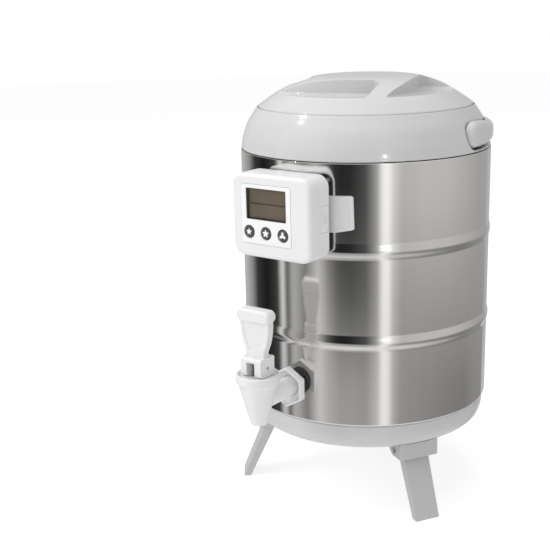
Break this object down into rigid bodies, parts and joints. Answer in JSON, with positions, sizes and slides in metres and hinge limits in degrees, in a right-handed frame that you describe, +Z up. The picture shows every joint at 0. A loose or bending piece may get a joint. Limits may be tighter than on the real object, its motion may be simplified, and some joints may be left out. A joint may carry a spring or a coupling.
{
  "type": "insulated drinks barrel",
  "caption": "Insulated steel drinks barrel on fold-out legs, with a lever tap, turn-and-lift lid, swinging handle and digital temperature display.",
  "frame": {"origin": "on the floor, under the middle of the whole object; the axis of the barrel stands 37 mm behind it", "axes": "+Z up, the tap and the display face -Y, +X to the right of someone facing the tap from outside"},
  "size_m": [0.2634, 0.3505, 0.4413],
  "materials": {
    "brushed_steel": "vertical brushed",
    "polished_steel": "satin polished",
    "grey_plastic": "glossy moulded",
    "satin_plastic": "satin moulded",
    "white_plastic": "semi-gloss moulded",
    "panel_white": "gloss film",
    "button_rubber": "satin moulded",
    "dark_plastic": "satin moulded",
    "clear_plastic": "clear gloss",
    "display_glass": "smooth film",
    "foam": "raw foam",
    "silicone": "matt moulded",
    "dark_rubber": "matt moulded",
    "board_green": "solder mask",
    "battery_cover": "shrink sleeve",
    "zinc": "zinc plated"
  },
  "bodies": {
    "barrel": {"outer_shell": "brushed_steel", "inner_liner": "polished_steel", "foam_jacket": "foam", "collar": "grey_plastic", "base_dish": "grey_plastic", "handle_pin_left": "polished_steel", "handle_pin_right": "polished_steel", "tap_body": "white_plastic", "tap_bonnet": "white_plastic", "tap_nut": "white_plastic", "tap_lock_nut": "white_plastic", "tap_gasket_outer": "dark_rubber", "tap_gasket_inner": "dark_rubber", "display_front_case": "white_plastic", "display_back_case": "white_plastic", "display_panel": "panel_white", "display_window": "clear_plastic", "lcd_module": "display_glass", "circuit_board": "board_green", "battery_1": "battery_cover", "battery_2": "battery_cover", "mounting_strap": "white_plastic", "temperature_probe": "polished_steel", "probe_grommet": "silicone", "probe_lead": "dark_rubber", "leg_bracket_1": "satin_plastic", "leg_pin_1": "polished_steel", "bracket_screw_1a": "zinc", "bracket_screw_1b": "zinc", "leg_bracket_2": "satin_plastic", "leg_pin_2": "polished_steel", "bracket_screw_2a": "zinc", "bracket_screw_2b": "zinc", "leg_bracket_3": "satin_plastic", "leg_pin_3": "polished_steel", "bracket_screw_3a": "zinc", "bracket_screw_3b": "zinc", "case_screw_1": "zinc", "case_screw_2": "zinc", "case_screw_3": "zinc", "case_screw_4": "zinc"},
    "lid_ring": {"lid_seal": "silicone"},
    "lid": {"lid_cover": "grey_plastic", "lid_foam": "foam", "lid_plug": "white_plastic"},
    "handle": {"bail_handle": "grey_plastic"},
    "right_leg": {"leg_1": "satin_plastic"},
    "left_leg": {"leg_2": "satin_plastic"},
    "rear_leg": {"leg_3": "satin_plastic"},
    "valve": {"valve_stem": "dark_plastic", "seat_cup": "silicone", "lever_pin": "polished_steel"},
    "lever": {"tap_lever": "white_plastic"},
    "button_left": {"button_1": "button_rubber"},
    "button_middle": {"button_2": "button_rubber"},
    "button_right": {"button_3": "button_rubber"},
    "battery_hatch": {"battery_door": "white_plastic"}
  },
  "joints": [
    {"name": "lid_lift", "type": "slide", "parent": "barrel", "child": "lid_ring", "axis": [0, 0, 1], "range_m": [0, 0.2]},
    {"name": "lid_turn", "type": "hinge", "parent": "lid_ring", "child": "lid", "pos_m": [0, 0.037, 0.41], "axis": [0, 0, 1], "range_deg": [0, 90]},
    {"name": "handle_swing", "type": "hinge", "parent": "barrel", "child": "handle", "pos_m": [0, 0.037, 0.3858], "axis": [1, 0, 0], "range_deg": [0, 90]},
    {"name": "right_leg_fold", "type": "hinge", "parent": "barrel", "child": "right_leg", "pos_m": [0.09119, -0.01565, 0.068], "axis": [0.5, 0.866, 0], "range_deg": [0, 110]},
    {"name": "left_leg_fold", "type": "hinge", "parent": "barrel", "child": "left_leg", "pos_m": [-0.08218, -0.02884, 0.068], "axis": [0.6252, -0.7804, 0], "range_deg": [0, 110]},
    {"name": "rear_leg_fold", "type": "hinge", "parent": "barrel", "child": "rear_leg", "pos_m": [-0.00551, 0.14216, 0.068], "axis": [-0.9986, -0.0523, 0], "range_deg": [0, 110]},
    {"name": "valve_lift", "type": "slide", "parent": "barrel", "child": "valve", "axis": [0, 0, 1], "range_m": [0, 0.0028]},
    {"name": "lever_tilt", "type": "hinge", "parent": "valve", "child": "lever", "pos_m": [0, -0.1537, 0.1793], "axis": [1, 0, 0], "range_deg": [0, 40], "stiffness_Nm_per_rad": 0.3, "springref_deg": -17.19},
    {"name": "left_button_press", "type": "slide", "parent": "barrel", "child": "button_left", "axis": [0, 1, 0], "range_m": [0, 0.001], "stiffness_N_per_m": 400, "springref_m": -0.0005},
    {"name": "middle_button_press", "type": "slide", "parent": "barrel", "child": "button_middle", "axis": [0, 1, 0], "range_m": [0, 0.001], "stiffness_N_per_m": 400, "springref_m": -0.0005},
    {"name": "right_button_press", "type": "slide", "parent": "barrel", "child": "button_right", "axis": [0, 1, 0], "range_m": [0, 0.001], "stiffness_N_per_m": 400, "springref_m": -0.0005},
    {"name": "battery_door_slide", "type": "slide", "parent": "barrel", "child": "battery_hatch", "axis": [1, 0, 0], "range_m": [0, 0.03]}
  ],
  "couplings": [
    {"joint": "valve_lift", "follows": "lever_tilt", "m_per_rad": 0.004}
  ]
}
